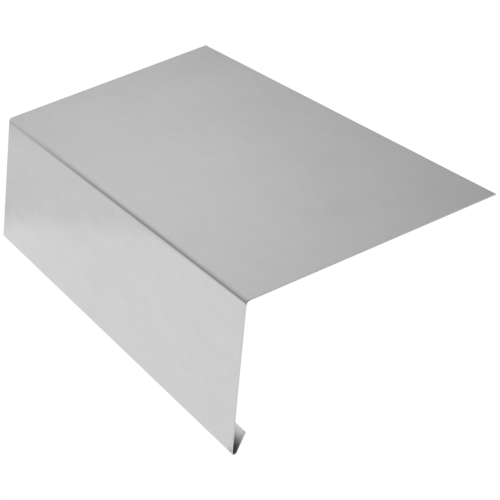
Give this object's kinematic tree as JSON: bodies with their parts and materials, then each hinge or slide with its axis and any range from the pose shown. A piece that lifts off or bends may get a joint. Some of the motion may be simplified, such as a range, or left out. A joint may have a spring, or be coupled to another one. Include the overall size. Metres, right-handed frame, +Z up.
{
  "type": "gutter apron flashing",
  "caption": "Gutter apron folded from galvanised sheet: a roof flange, a drop face and an open kick hem that carry water off the eave into the gutter.",
  "frame": {"origin": "on the underside of the roof flange, at mid-length, on the line where the flange leaves the eave fold: the roof deck's lower front edge sits there", "axes": "+X along the eave, +Y horizontally up-roof towards the house, +Z up; the drop face hangs down at -Y and the roof flange rises at 19.25 degrees towards +Y, as installed"},
  "size_m": [0.3048, 0.1188, 0.1117],
  "materials": {
    "galvanised_sheet": "satin mill-galvanised zinc with a faint grain along the strip"
  },
  "bodies": {
    "root": {"gutter_apron": "galvanised_sheet"}
  },
  "joints": []
}
